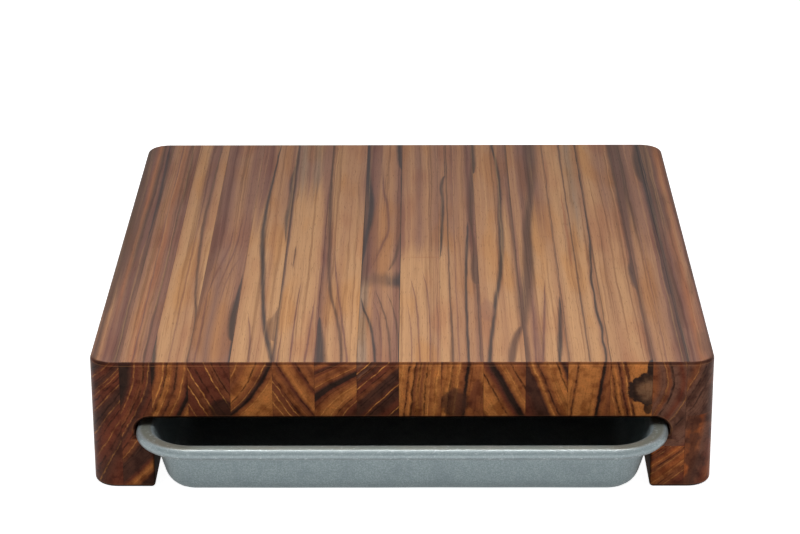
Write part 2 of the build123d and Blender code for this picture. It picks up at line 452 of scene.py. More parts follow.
STICKS: dict[str, Stick] = {
    "left_rail_outer": Stick(
        end=figure("-2P 1.5R 4.5P 7P 9.5R 12R 14.5P 18R 22R 26P 30P 34R 40R 45P 52R"),
        near=figure("0B 2P 4T 6.5R 8.5B 12P 14B 18R 24B 30P 36B 44R 52B"),
        far=figure("0P 3P 5R 7A 9P 11R 14P 20P 28R 36B 50R"),
        end_slope=1.0, end_bow=-0.005, change_at=90, light_lines=(9.8, 16.5, 18.5, 24, 31, 38.5, 45),
        dark_lines=(6, 13, 20.5, 28, 34.5, 42), shine=0.32,
        veins=(
            Vein(((15, 10, 1.2), (70, 10.2, 1.6), (135, 9.4, 0)), R),
            Vein(((150, 12.6, 0), (200, 13, 1.1), (245, 12.6, 1.4), (300, 11.5, 0.6)), C, 0.7),
            Vein(((60, 2, 0), (120, 4, 5), (170, 5, 4), (240, 4, 1)), P, 0.6),
        ),
    ),
    "left_rail_inner": Stick(
        end=figure("-1P 0C 3.6C 5P 6.3R 8R 10.5B 12.5R 14.4P 17R 21B 25P 29P 33P 35R 36.5T 38.5H 41T 43P"),
        near=figure("0B 2.5T 5A 8T 10.5R 12.5B 14.4R 20B 30R 40P"),
        far=figure("0B 3T 6A 9B 12B 14.4R 20B 30R 40P"),
        end_slope=0.06, end_bow=0.0084, change_at=120, light_lines=(6.7, 13.2, 21.5),
        dark_lines=(11, 18, 26), shine=0.4,
        veins=(
            Vein(((195, 11, 0.8), (250, 11.5, 1.4), (300, 10.5, 0.8)), P),
            Vein(((60, 6, 0.5), (170, 5.2, 0.6)), R),
        ),
    ),
    "deck_stave_01": Stick(
        end=figure("-1C 1.4C 2.4B 3.5T 5T 6.5B 8H 10T 11B 12.5B 14.5T 16.5B 17.5R 18.3C 19.6C 20.4B 22H "
                   "25T 28B"),
        near=figure("0T 2.5H 7H 12T 16.4H"),
        far=figure("0T 5H 8B 11R 13T 16.4T"),
        end_slope=0.05, end_bow=0.0095, change_at=200, light_lines=(5.6, 9.4, 15.2), dark_lines=(7.2, 12),
        veins=(
            Vein(((0, 16.3, 0.9), (59, 16, 0.8), (74, 14.5, 0.9), (113, 12.6, 1.1),
                  (152, 11.2, 1.2), (183, 10.6, 1.2), (250, 11.5, 0.9), (300, 11.9, 0.5)), P),
            Vein(((0, 1.2, 1.6), (22, 0.2, 1.2), (40, -0.6, 0)), C),
            Vein(((120, 8, 0.6), (260, 7.8, 0.8)), R, 0.5),
        ),
    ),
    "deck_stave_02": Stick(
        end=figure("-16T -12R -7R -3B 0R 3R 7R 10B 13R 15R 17R 19P"),
        near=figure("0B 4T 8D 12T 16B 19B"),
        far=figure("0B 4R 7B 11T 15B 19B"),
        end_slope=-0.45, end_bow=-0.004, change_at=150, light_lines=(-11, -5.5, -1, 7.4),
        dark_lines=(2.5, 11, 15), shine=0.95,
        veins=(
            Vein(((0, 3.2, 0.7), (60, 3.4, 0.7), (90, 3.2, 0)), R),
            Vein(((25, 19, 1.2), (35, 17.8, 3), (60, 17.4, 3.2), (80, 17.9, 1.6), (110, 18.6, 0)), C),
            Vein(((80, 3, 0), (110, 5.5, 0.7), (140, 9, 0.7), (180, 10.5, 0)), R),
            Vein(((80, 7, 0), (110, 9.5, 0.6), (150, 13, 0.6), (190, 14, 0)), R),
            Vein(((60, 9.5, 0), (95, 11, 0.6), (130, 15.5, 0.5)), R, 0.6),
        ),
        burrs=(
            Burr((15, 0, 23), (6.5, 9, 6), C, 0.8),
        ),
    ),
    "deck_stave_03": Stick(
        end=figure("-1T 1B 4T 6B 8T 11H 13.5T 15.5B 17.2P 18C 19C 19.8B 21.5T 24H 30H 35H 40T"),
        near=figure("0T 3H 8H 12T 15H 19H"),
        far=figure("0B 5R 8T 13T 17B 19B"),
        end_slope=0.35, end_bow=0.014, change_at=190, light_lines=(3.4, 16, 22.5), dark_lines=(12, 18.4),
        veins=(
            Vein(((3, 18.9, 1.6), (20, 16.6, 2), (43, 13.5, 1.8), (82, 10.7, 1.6), (121, 8.6, 2),
                  (152, 6.7, 2), (191, 6.1, 1.6), (245, 7.3, 1), (300, 9, 0.4)), C),
            Vein(((150, 18.6, 0), (185, 17.6, 1.8), (215, 18.6, 2.2), (240, 17.6, 2),
                  (265, 18.5, 1), (290, 19, 0.4)), C, 0.8),
            Vein(((0, 8.7, 0.8), (30, 7.5, 0.8), (58, 5, 0)), R, 0.7),
            Vein(((25, 18.8, 0), (42, 16.8, 5), (55, 18, 2), (66, 19, 0)), P, 0.6),
        ),
    ),
    "deck_stave_04": Stick(
        end=figure("-16B -12T -8B -5R -2T 0B 2R 4H 8T 10R 12T 15B 17T 18.5B 19.5P"),
        near=figure("0B 2H 8H 14H 17T 19R"),
        far=figure("0B 4S 8B 12S 16B 19B"),
        end_slope=-0.5, end_bow=-0.006, change_at=235, change_over=50, light_lines=(-12, -8.6, -5.2),
        dark_lines=(-3.6, 1.6, 10.6), shine=0.9,
        veins=(
            Vein(((0, 2.2, 0.6), (43, 3, 0)), R),
            Vein(((0, 8.1, 0.6), (75, 8.6, 0.5), (100, 9.5, 0)), R),
            Vein(((0, 14.6, 0.7), (51, 16, 0.6), (75, 16.5, 0)), R),
            Vein(((115, 4.5, 0), (130, 4.6, 0.6), (148, 4.7, 0)), P),
            Vein(((180, 0.4, 1.2), (240, 0.2, 1.6), (290, 0.5, 1)), C, 0.6),
        ),
    ),
    "deck_stave_05": Stick(
        end=figure("-1P 3P 4.5B 7T 9R 11P 12.5B 14R 16T 19B 22T 25B 27P 28C 31.4C 32.2R 34B 37T 42H 46T "
                   "50R 56P"),
        near=figure("0R 4T 6H 9T 12H 19H"),
        far=figure("0T 4H 9T 15T 19B"),
        end_slope=2.2, end_bow=-0.03, change_at=190, light_lines=(23, 39.5, 44, 49.5),
        dark_lines=(12, 46.5),
        veins=(
            Vein(((0, 12.3, 1.3), (28, 11, 1.2), (59, 8, 1.1), (82, 5, 1.3), (105, 3.6, 1.5),
                  (165, 2, 1.6), (245, 0.4, 1.2)), P),
            Vein(((5, 14.6, 0.7), (59, 10.5, 0.7), (105, 7, 0.7), (150, 5, 0)), R),
            Vein(((0, 2.6, 5), (15, 2.2, 4), (40, 1, 2.2), (55, 0.6, 0)), C),
        ),
    ),
    "deck_stave_06": Stick(
        end=figure("0P 3D 5.5R 7P 8.5D 9.5B 11P 14R 17R 20B 22P 25P 28P 31R 32P 36P 40R 43P 48R 52P"),
        near=figure("0S 3.5S 5T 8B 12T 16B 19B"),
        far=figure("0P 4R 7B 10T 14T 17B 19R"),
        end_slope=1.15, end_bow=-0.004, change_at=100, change_over=26, flame=50,
        light_lines=(6, 14.5, 30.6, 42), dark_lines=(9.4, 18, 24.4, 33), shine=0.9,
        veins=(
            Vein(((120, 0.3, 0), (136, 0.8, 1.2), (160, 1.5, 2.2), (183, 3, 2.8), (211, 3.3, 3),
                  (237, 1.7, 2.6), (260, 1, 2), (300, 0.5, 1.6)), C),
            Vein(((0, 8.3, 0.9), (28, 7, 1.1), (50, 4.6, 1), (65, 1.8, 0.8), (78, 0.5, 0)), C),
            Vein(((0, 15.2, 0.7), (40, 13.6, 0.7), (70, 10, 0.6), (88, 7, 0)), P),
            Vein(((10, 19, 0.6), (50, 17.2, 0.7), (85, 12.5, 0)), P),
            Vein(((0, 11, 0.5), (50, 9.5, 0.6), (75, 6, 0)), R),
            Vein(((112, 4, 0), (150, 10, 1), (170, 12.6, 1), (200, 12, 1), (230, 9.5, 1),
                  (290, 8, 0.8)), R),
            Vein(((112, 13, 0), (135, 17, 1.4), (165, 19, 1)), P),
            Vein(((262, 19, 0), (275, 18, 2), (300, 17.2, 2.2)), C, 0.8),
        ),
        burrs=(
            Burr((14, 101, 0), (22, 14, 20), P, 0.6, 0.85),
            Burr((20, 100, 0), (9, 15, 12), C, 0.8, 0.8),
        ),
    ),
    "deck_stave_07": Stick(
        end=figure("-1T 1H 4H 5.5T 7H 9B 10.5H 12B 13.5H 16T 18H 19.5H 22B 25T"),
        near=figure("0H 6H 12H 19T"),
        far=figure("0B 5T 9B 13T 19B"),
        end_slope=0.12, change_at=138, change_over=40, flame=60, light_lines=(2.6, 15.4, 18.8),
        dark_lines=(5.4, 8.2, 10.4, 13.8),
        veins=(
            Vein(((0, 9.6, 0.6), (28, 9, 0.6), (74, 7.5, 0.6), (105, 4.4, 0)), R, 0.7),
            Vein(((10, 14.2, 0.6), (43, 14.2, 0.6), (82, 13.2, 0.6), (113, 10.6, 0)), R, 0.7),
            Vein(((0, 17.6, 0.5), (60, 17.8, 0.5), (90, 17, 0)), R, 0.5),
            Vein(((0, 5.6, 0.5), (43, 5.2, 0.5), (74, 2.9, 0)), R, 0.6),
        ),
        burrs=(
            Burr((14, 131, 0), (17, 1.6, 8), A, 0.4, 0.7),
        ),
    ),
    "deck_stave_08": Stick(
        end=figure("0P 1.2T 3H 5H 6.5T 8H 9.5T 11.4B 12C 13C 13.8T 16T 18T 20H 24B"),
        near=figure("0H 5H 8T 12T 15T 19B"),
        far=figure("0B 4T 8B 12T 16R 19B"),
        end_slope=0.12, change_at=150, light_lines=(4.8, 8.6), dark_lines=(5.6, 12.4),
        veins=(
            Vein(((128, 0.6, 0), (167, 1.6, 1.4), (214, 2.4, 1.2), (237, 2.1, 1.4), (252, 4, 0)), C),
            Vein(((0, 12.5, 1), (75, 12.5, 1), (121, 13.2, 1.1), (160, 14.5, 1), (183, 15, 0)), C),
            Vein(((0, 5.4, 1), (43, 5.2, 0.9), (75, 4.7, 0.6)), P),
            Vein(((95, 18, 0), (105, 17.6, 3.6), (120, 17.5, 3.4), (150, 17.6, 1), (183, 16.8, 1.8),
                  (214, 17.6, 2.6), (245, 18.4, 2.4), (276, 19.4, 1.8)), P),
            Vein(((0, 8.2, 0.5), (120, 7.8, 0.5)), R, 0.6),
        ),
        burrs=(
            Burr((6, 0, 20), (8, 12, 8), P, 0.8),
            Burr((17, 0, 18), (5, 12, 10), R, 0.7),
        ),
    ),
    "deck_stave_09": Stick(
        end=figure("-18B -14R -12H -5H -2T 0R 1.6P 2.4C 4.4C 5B 7H 10T 13T 16B 18B 20P"),
        near=figure("0T 3T 6H 11T 15H 19T"),
        far=figure("0T 5T 10T 14B 19B"),
        end_slope=-0.55, change_at=170, light_lines=(-8, 8.5), dark_lines=(-3, 3.6, 12),
        veins=(
            Vein(((0, 2.7, 1.8), (12, 3.2, 1.7), (43, 5.3, 1.6), (74, 7.4, 1.7), (98, 9.7, 1.8),
                  (121, 11.2, 2), (160, 12.5, 2.2), (198, 12.8, 1.8), (229, 13.6, 1.6),
                  (268, 13.1, 1.4), (300, 11.2, 1)), C),
            Vein(((255, 0.4, 0), (275, 0.6, 2), (305, 0.3, 2.4)), C, 0.8),
            Vein(((0, 12.5, 2.5), (20, 14.3, 3), (43, 19, 1.5)), P),
        ),
        burrs=(
            Burr((3, 62, 0), (4, 16, 6), B, 0.5),
        ),
    ),
    "deck_stave_10": Stick(
        end=figure("-14B -10R -4P 0.2P 1.4T 2.5H 3.5T 5B 6.5T 8H 13H 15T 16P 17C 18.5R 20T"),
        near=figure("0R 3T 6B 9H 15H 19T"),
        far=figure("0T 5B 10R 15B 19T"),
        end_slope=-0.42, change_at=190, light_lines=(2.4, 9.5), dark_lines=(4.8, 13.6),
        veins=(
            Vein(((43, 0, 3.2), (75, 2.2, 5), (120, 5.3, 5.2), (167, 6.9, 4), (214, 10, 3),
                  (250, 12, 4.5), (300, 13, 5)), P, 0.9),
            Vein(((0, 15, 1.2), (28, 16.7, 1.8), (59, 18.2, 1.6), (82, 19.3, 0)), C),
            Vein(((0, 7.6, 0.8), (59, 10.8, 0.9), (105, 13, 0)), R),
            Vein(((0, 4.5, 0.6), (60, 5.6, 0.6), (80, 6, 0)), R),
        ),
    ),
    "deck_stave_11": Stick(
        end=figure("-1T 1H 3H 4.5T 6H 9H 14H 15.4T 15.9C 16.9C 17.5B 19T 21B 24T"),
        near=figure("0T 3H 9H 14H 19T"),
        far=figure("0T 4H 10H 14S 19T"),
        end_slope=0.12, change_at=180, dark_lines=(4.6, 16.2),
        veins=(
            Vein(((0, 16.8, 0.9), (14, 17.4, 1.1), (26, 16.8, 0.8), (40, 17.5, 1.1), (59, 16.3, 1),
                  (80, 16.6, 0.8), (98, 16.1, 1), (118, 17.2, 0.8), (136, 17.9, 1.2),
                  (152, 18.7, 0.9), (167, 19, 0.8)), C),
            Vein(((115, 8, 0), (160, 7.8, 1.2), (230, 7.6, 0)), A, 0.7),
            Vein(((255, 9.8, 0.6), (305, 9.9, 0.9)), P),
            Vein(((60, 0.6, 0.6), (140, 0.6, 0.5)), P, 0.7),
        ),
    ),
    "deck_stave_12": Stick(
        end=figure("-8B -4T -1T 1H 3R 4.5T 6B 7.5H 12H 16H 17.6T 19B 22T"),
        near=figure("0H 6T 12H 16T 19T"),
        far=figure("0T 4H 8T 12B 16T 19T"),
        end_slope=-0.2, change_at=190, light_lines=(-2, 5), dark_lines=(-0.5, 3, 6.2),
        veins=(
            Vein(((0, 19.3, 1), (85, 19.2, 1), (92, 18.6, 2.6), (110, 17.9, 3.2), (125, 18.4, 1.8),
                  (135, 18.8, 1.2)), C),
            Vein(((130, 18.5, 1), (200, 18.6, 1.6), (305, 18.6, 2)), P, 0.8),
            Vein(((130, 0.2, 0.5), (290, 0.4, 0.7)), P, 0.7),
        ),
        burrs=(
            Burr((17.6, 0, 13.2), (10.2, 7, 8), C, 1.0, 0.12),
            Burr((19.8, 0, 3.4), (3.6, 7, 5.4), C, 1.0, 0.15),
            Burr((17.4, 0, 22), (2.3, 7, 4), C, 0.9, 0.3),
            Burr((20, 0, 13.2), (10.6, 9, 8.2), S, 0.8, 0.6),
        ),
    ),
    "right_rail_inner_upper": Stick(
        end=figure("-2B 0B 3D 6B 7D 9D 12R 14D 16D 20P 24D 30D 36R"),
        near=figure("0B 3T 8T 11B 14R 15.4R 22B 30R"),
        far=figure("0R 4P 8B 11B 15.4R 24R 32P"),
        end_slope=-0.35, end_bow=0.02, change_at=180, light_lines=(4.8, 14.5), dark_lines=(7.4, 19),
        shine=0.35,
        burrs=(
            Burr((-1.5, 0, 13.4), (6, 9, 7), T, 0.6, 0.8),
        ),
        veins=(
            Vein(((130, 0.8, 1), (200, 1, 2), (300, 1.2, 2.4)), P, 0.5),
            Vein(((240, 14.8, 2), (255, 14, 4.4), (275, 14.2, 5), (290, 14.6, 3.6), (305, 15, 2)), C),
            Vein(((10, 14.5, 3), (50, 13.8, 3.6), (82, 14.6, 0)), P, 0.6),
            Vein(((10, 6.3, 0.5), (100, 6.3, 0.5)), R, 0.6),
            Vein(((137, 15.6, 0.8), (200, 15.4, 1.2), (240, 15.2, 1.6)), C),
        ),
    ),
    "right_rail_ledge": Stick(
        end=figure("-2P 2B 5A 9R 13A 17B 21A 25T 29B 34R 40P"),
        near=figure("-2P 5A 13B 21A 29B 40P"),
        far=figure("-2R 8B 16R 24A 32B 40R"),
        end_slope=1.25, light_lines=(4, 9, 13.5, 18, 24, 30), dark_lines=(6.5, 16, 27), shine=0.5,
    ),
    "right_rail_outer_upper": Stick(
        end=figure("0D 2D 5B 8D 11P 13D 16D 20D 26P"),
        near=figure("0B 4R 7A 10B 13R 20B 28R"),
        far=figure("0R 3P 6R 9A 13R 20R 30P"),
        end_slope=0.25, end_bow=0.012, light_lines=(6.3,), dark_lines=(9.5, 14), patchy=0.45, shine=0.3,
        veins=(
            Vein(((137, 0.6, 1.2), (200, 0.6, 1.8), (245, 0.8, 1.4)), C, 0.8),
            Vein(((40, 1.8, 0), (80, 2, 2.5), (130, 1.6, 0)), P, 0.6),
        ),
    ),
    "right_rail_outer_lower": Stick(
        end=figure("0D 4B 8A 12D 16R 22A 28D"),
        near=figure("0P 4B 8A 12R 16B 22A 28R"),
        far=figure("0B 6R 12P 20R"),
        end_slope=0.25, patchy=0.8,
    ),
}


@dataclass(frozen=True)
class Grain:
    """A noise in the wood, stretched to so many waves per mm across, along and down, and its tints."""

    per_mm: Place
    detail: float
    roughness: float = 0.5
    tints: tuple[Tint, ...] = ()

    def over(self, colour: Signal, noise: Signal) -> Signal:
        """Lay the tints over a colour by that noise.

        Args:
            colour: What is under them.
            noise: The grain's noise at the point.

        Returns:
            The tinted colour.
        """
        for tint in self.tints:
            colour = tint.over(colour, tint.shown(noise))
        return colour


def early_wood(strength: float, low: float, high: float) -> Tint:
    """Return the warm lift that open early wood gives to end grain."""
    return Tint((1.43, 1.34, 1.22, 1.0), strength, (low, high), "MULTIPLY")


@dataclass(frozen=True)
class TeakFinish:
    """Oiled teak, in what all its sticks share. Lengths are in mm."""

    # Which ring a point lies on, and how far it wanders.
    ring_low: float = -25.0
    ring_high: float = 65.0
    noise_step: float = 37.0
    sway: float = 3.0
    sway_grain: Grain = Grain((0.035, 0.009, 0.04), 1.0)
    waver: float = 1.4
    waver_grain: Grain = Grain((0.16, 0.022, 0.17), 2.0)
    quiver: float = 1.1
    quiver_grain: Grain = Grain((0.5, 0.05, 0.5), 3.0)
    flame_grain: Grain = Grain((0.22, 0.004, 0.02), 2.0)

    # Veins, burrs and stains.
    vein_length: float = 305.0
    vein_places: Pair = (-5.0, 25.0)
    vein_half_widths: Pair = (0.0, 5.0)
    vein_least_half: float = 0.02
    vein_edge: float = 1.75
    vein_softness: float = 1.3
    halo_reach: Pair = (2.8, 0.3)
    halo_fade: Pair = (0.0, 0.5)
    halo_strength: float = 0.45
    burr_edge: Grain = Grain((0.28, 0.06, 0.28), 3.0)
    burr_raggedness: float = 0.7
    stain: Grain = Grain((0.13, 0.012, 0.1), 2.5)
    stain_levels: Pair = (0.48, 0.6)

    # The grain along a stick.
    drift: Grain = Grain((0.05, 0.009, 0.03), 2.0, 0.5, (
        glaze("fbe8c4", 0.6, 0.52, 0.66), glaze("ecd6d2", 0.6, 0.48, 0.34)))
    growth: Grain = Grain((0.55, 0.0025, 0.012), 3.0, 0.6, (
        glaze("7a5847", 0.42, 0.52, 0.68), paint("d0a070", 0.22, 0.46, 0.34)))
    fibre: Grain = Grain((2.6, 0.03, 0.06), 2.0, 0.6, (glaze("9a7458", 0.30, 0.5, 0.72),))
    pores: Grain = Grain((2.4, 0.16, 2.4), 1.0)
    pore: Tint = paint("3a261c", 0.38, 0.64, 0.72)
    fibre_relief: float = 0.35
    growth_relief: float = 0.3
    pore_relief: float = 0.4

    # The end grain.
    end_facing: Pair = (0.15, 0.55)
    dark_ring: Tint = paint("26160f", 0.75, 0.7, 0.175)
    light_ring: Tint = paint("dd964f", 1.0, 0.5, 0.125)
    ring_patches: Grain = Grain((0.3, 0.0, 0.3), 2.0)
    ring_patch_levels: Pair = (0.35, 0.6)
    faint_ring: float = 0.25
    late_wood: Grain = Grain((0.8, 0.0, 0.02), 3.0, 0.65, (
        glaze("6e4a38", 0.4, 0.53, 0.66), early_wood(0.5, 0.42, 0.30)))
    speckle: Grain = Grain((1.1, 0.0, 1.1), 3.0, 0.7, (
        glaze("6a4a3a", 0.35, 0.50, 0.68), early_wood(0.4, 0.44, 0.30)))
    cloud: Grain = Grain((0.2, 0.0, 0.2), 2.0, 0.5, (
        glaze("8a5c48", 0.5, 0.48, 0.66), early_wood(0.4, 0.46, 0.34)))

    # Painted shade and a painted highlight on the rounded edges of the end grain, the dark seams, and
    # painted shade on the rails' inner sides.
    arris_shade: Tint = paint("341b14", 0.75, 0.22, 0.6)
    undercut_shade: Tint = paint("170d09", 0.85, 0.1, 0.45)
    arris_highlight: Tint = paint("b07a50", 0.3)
    highlight_tilt: float = 0.14
    highlight_band: float = 0.1
    seam: Tint = paint("2a1a12", 0.45, 0.22, 0.0)
    bay_wall_shade: Tint = paint("24160f", 0.7, 0.5, 0.8)
    bay_wall_fade: float = 2.0

    # The oil's sheen.
    roughness: float = 0.46
    gloss_patches: Grain = Grain((0.05, 0.02, 0.05), 3.0)
    patch_roughness: float = 0.16
    raised_polish: float = 0.10
    end_roughness: float = 0.04
    bay_wall_roughness: float = 0.4
    gloss: float = 0.07
    relief_strength: float = 0.22
    relief_depth: float = 0.00025


class Teak:
    """The teak of one stick, while its graph is built.

    across, back and down are how far a point lies from the stick's left seam, the board's front face and
    the stick's top, in mm. ring is the ring that it lies on, and rough_ring adds the quiver of thin lines.
    """

    def __init__(self, finish: TeakFinish, name: str, look: Stick, number: int) -> None:
        """Start the graph.

        Args:
            finish: What all sticks share.
            name: The stick's node.
            look: How its rings run.
            number: Its place in the list of sticks, which shifts its noises.
        """
        self.finish = finish
        self.look = look
        self.shift = finish.noise_step * number
        self.material, self.graph = new_material(f"teak_{name}")
        low, high = (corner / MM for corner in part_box(name))
        coordinates = self.graph.add("ShaderNodeTexCoord")
        self.x, y, z = (part / MM for part in self.graph.split(coordinates.out("Object")))
        self.width = high.x - low.x
        self.across = self.x - low.x
        self.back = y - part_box("deck_stave_01")[0].y / MM
        self.down = high.z - z
        self.facing = self.graph.split(coordinates.out("Normal"))
        self.ring, self.quiver = self.rings()
        self.rough_ring = self.ring + self.quiver

    def build(self) -> bpy.types.Material:
        """Join the grain along the stick to the end grain, and shade the edges.

        Returns:
            The stick's material.
        """
        finish = self.finish
        side, relief = self.side()
        on_end = abs(self.facing[1]).rise(*finish.end_facing)
        colour = self.edged(self.graph.blend(on_end, side, self.end()), on_end)
        on_bay_wall = self.on_bay_wall()
        # Painted shade on the rails' inner sides, which stand in the dark bay under the deck.
        colour = finish.bay_wall_shade.over(colour, on_bay_wall)

        patches = self.noise(finish.gloss_patches, self.across)
        roughness = finish.roughness + finish.patch_roughness * (patches - 0.5)
        roughness = roughness - finish.raised_polish * relief + finish.end_roughness * on_end
        self.graph.end_in({
            "Base Color": colour,
            "Roughness": roughness + finish.bay_wall_roughness * on_bay_wall,
            "Normal": self.graph.bump(relief, finish.relief_strength, finish.relief_depth),
            "Specular IOR Level": finish.gloss,
        })
        return self.material

    def noise(self, grain: Grain, across: Signal) -> Signal:
        """Work out a grain's noise in the whole stick.

        Args:
            grain: The grain.
            across: What it is measured by across the stick, in mm, which may be a ring.

        Returns:
            The noise, from 0 to 1.
        """
        per_across, per_back, per_down = grain.per_mm
        down = self.down * per_down + self.shift
        place = self.graph.vector(across * per_across, self.back * per_back, down)
        return self.graph.noise(place, 1.0, grain.detail, grain.roughness)

    def end_noise(self, grain: Grain, across: Signal) -> Signal:
        """Work out a grain's noise on the end grain.

        Args:
            grain: The grain.
            across: What it is measured by across the stick, in mm, which may be a ring.

        Returns:
            The noise, from 0 to 1.
        """
        per_across, _, per_down = grain.per_mm
        place = self.graph.vector(across * per_across, self.shift, self.down * per_down)
        return self.graph.noise(place, 1.0, grain.detail, grain.roughness)

    def rings(self) -> tuple[Signal, Signal]:
        """Work out which ring a point lies on.

        Returns:
            The ring with its slow sway, and the quiver of thin lines, in mm.
        """
        finish, look = self.finish, self.look
        ring = self.across + self.down * (look.end_slope + look.end_bow * self.down)
        ring = ring + finish.sway * (self.noise(finish.sway_grain, self.across) - 0.5)
        ring = ring + finish.waver * (self.noise(finish.waver_grain, self.across) - 0.5)
        return ring, finish.quiver * (self.noise(finish.quiver_grain, self.across) - 0.5)

    def figured(self, ring: Signal, stops: Figure, is_end: bool) -> Signal:
        """Colour a ring by a figure.

        Args:
            ring: Which ring a point lies on.
            stops: The figure.
            is_end: Whether the colours are those of end grain.

        Returns:
            The colour.
        """
        low, span = self.finish.ring_low, self.finish.ring_high - self.finish.ring_low
        shares = [((place - low) / span, tone.shown(is_end)) for place, tone in stops]
        return self.graph.add("ShaderNodeValToRGB", {"stops": shares}, {"Fac": (ring - low) / span})

    def side(self) -> tuple[Signal, Signal]:
        """Build the faces along the grain.

        Returns:
            Their colour, and the relief of the surface from 0 to about 1.
        """
        finish = self.finish
        near = self.figured(self.ring, self.look.near, is_end=False)
        colour = self.graph.blend(self.change(), near, self.figured(self.ring, self.look.far, is_end=False))
        colour = self.burred(self.veined(colour), is_end=False)

        growth = self.noise(finish.growth, self.rough_ring)
        fibre = self.noise(finish.fibre, self.rough_ring)
        pore = finish.pore.shown(self.noise(finish.pores, self.across))
        colour = finish.drift.over(colour, self.noise(finish.drift, self.rough_ring))
        colour = finish.fibre.over(finish.growth.over(colour, growth), fibre)
        relief = 0.5 + finish.fibre_relief * (fibre - 0.5) + finish.growth_relief * (growth - 0.5)
        return finish.pore.over(colour, pore), relief - finish.pore_relief * pore

    def change(self) -> Signal:
        """Work out how far the far figure has taken over, with flame-shaped tips along the grain.

        Returns:
            The far figure's share.
        """
        flame = self.noise(self.finish.flame_grain, self.ring)
        half = self.look.change_over / 2
        reach = self.back + self.look.flame * (flame - 0.5)
        return reach.rise(self.look.change_at - half, self.look.change_at + half)

    def veined(self, colour: Signal) -> Signal:
        """Lay the stick's veins over a colour, each with a soft edge and a faint halo.

        Args:
            colour: The figure's colour.

        Returns:
            The colour with its veins.
        """
        finish = self.finish
        for vein in self.look.veins:
            places = [(at, place) for at, place, _ in vein.course]
            halves = [(at, width / 2) for at, _, width in vein.course]
            middle = self.graph.course(self.back, places, finish.vein_length, *finish.vein_places)
            half = self.graph.course(self.back, halves, finish.vein_length, *finish.vein_half_widths)
            gap = abs(self.across + self.quiver - middle)
            share = gap / (half.most(0.0) + finish.vein_least_half)
            halo = Tint(Tone.RUSSET.shown(is_end=False), finish.halo_strength * vein.strength)
            colour = halo.over(colour, gap.rise(*finish.halo_reach) * half.rise(*finish.halo_fade))
            core = ((finish.vein_edge - share) / finish.vein_softness).held()
            colour = Tint(vein.tone.shown(is_end=False), vein.strength).over(colour, core)
        return colour

    def burred(self, colour: Signal, is_end: bool) -> Signal:
        """Lay the stick's burrs and stains over a colour.

        Args:
            colour: The figure's colour.
            is_end: Whether the tones are those of end grain.

        Returns:
            The colour with its burrs.
        """
        finish = self.finish
        if self.look.burrs:
            ragged = finish.burr_raggedness * (self.noise(finish.burr_edge, self.across) - 0.5)
        for burr in self.look.burrs:
            place = zip((self.across, self.back, self.down), burr.centre, burr.reach)
            squares = [((part - centre) / reach) ** 2.0 for part, centre, reach in place]
            distance = (squares[0] + squares[1] + squares[2]).root()
            tint = Tint(burr.tone.shown(is_end), burr.strength)
            colour = tint.over(colour, (distance + ragged).rise(1.0, 1.0 - burr.blur))
        if self.look.patchy:
            stain = self.noise(finish.stain, self.across).rise(*finish.stain_levels)
            colour = Tint(Tone.PLUM.shown(is_end), self.look.patchy).over(colour, stain)
        return colour

    def end(self) -> Signal:
        """Build the end grain: its figure, thin rings, burrs, late wood and open pores.

        Returns:
            Its colour.
        """
        finish = self.finish
        colour = self.figured(self.rough_ring, self.look.end, is_end=True)
        colour = self.ringed(colour)
        colour = self.burred(colour, is_end=True)
        for grain, across in ((finish.late_wood, self.rough_ring), (finish.speckle, self.across),
                              (finish.cloud, self.across)):
            colour = grain.over(colour, self.end_noise(grain, across))
        return colour

    def ringed(self, colour: Signal) -> Signal:
        """Draw the thin dark and light rings on the end grain, fainter in patches.

        Args:
            colour: The figure's colour.

        Returns:
            The colour with its thin rings.
        """
        finish, look = self.finish, self.look
        patches = self.end_noise(finish.ring_patches, self.across).rise(*finish.ring_patch_levels)
        shown = finish.faint_ring + (1.0 - finish.faint_ring) * patches
        light_ring = replace(finish.light_ring, strength=look.shine)
        for lines, tint in ((look.dark_lines, finish.dark_ring), (look.light_lines, light_ring)):
            if not lines:
                continue
            gap = abs(self.rough_ring - lines[0])
            for line in lines[1:]:
                gap = gap.least(abs(self.rough_ring - line))
            colour = tint.over(colour, tint.shown(gap) * shown)
        return colour

    def edged(self, colour: Signal, on_end: Signal) -> Signal:
        """Paint shade and a thin highlight on the rounded edges of the end grain, and darken the seams
        between the sticks.

        Args:
            colour: The stick's colour.
            on_end: Where the end grain is.

        Returns:
            The colour with its edges.
        """
        finish = self.finish
        upward = self.facing[2]
        tilt = abs(upward)
        # Painted shade on the rounded edges of the end grain.
        colour = finish.arris_shade.over(colour, on_end * finish.arris_shade.shown(tilt))
        # Painted shade on end grain that faces down.
        colour = finish.undercut_shade.over(colour, finish.undercut_shade.shown(0.0 - upward) * on_end)
        # Painted highlight: a thin light line where the edge's rounding turns to face the front.
        glint = (1.0 - abs(tilt - finish.highlight_tilt) / finish.highlight_band).most(0.0)
        colour = finish.arris_highlight.over(colour, glint * on_end)
        edge = self.across.least(self.width - self.across)
        return finish.seam.over(colour, finish.seam.shown(edge))

    def on_bay_wall(self) -> Signal:
        """Find the rails' inner sides, which close the tray's bay left and right.

        Returns:
            A mask that is 1 there.
        """
        bay = -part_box("left_rail_inner")[1].x / MM
        sideways = self.finish.bay_wall_shade.shown(abs(self.facing[0]))
        return sideways * abs(self.x).rise(bay + self.finish.bay_wall_fade, bay)


@dataclass
class Board:
    """The glued-up board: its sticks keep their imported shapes, and each gets its own teak."""

    finish: TeakFinish
    sticks: dict[str, Stick] = field(default_factory=lambda: STICKS)

    def dress(self) -> None:
        """Give every stick its finish."""
        for number, (name, look) in enumerate(self.sticks.items()):
            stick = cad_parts[name]
            dress(stick, Teak(self.finish, name, look, number).build())
            log.info("stick %s dressed", name)


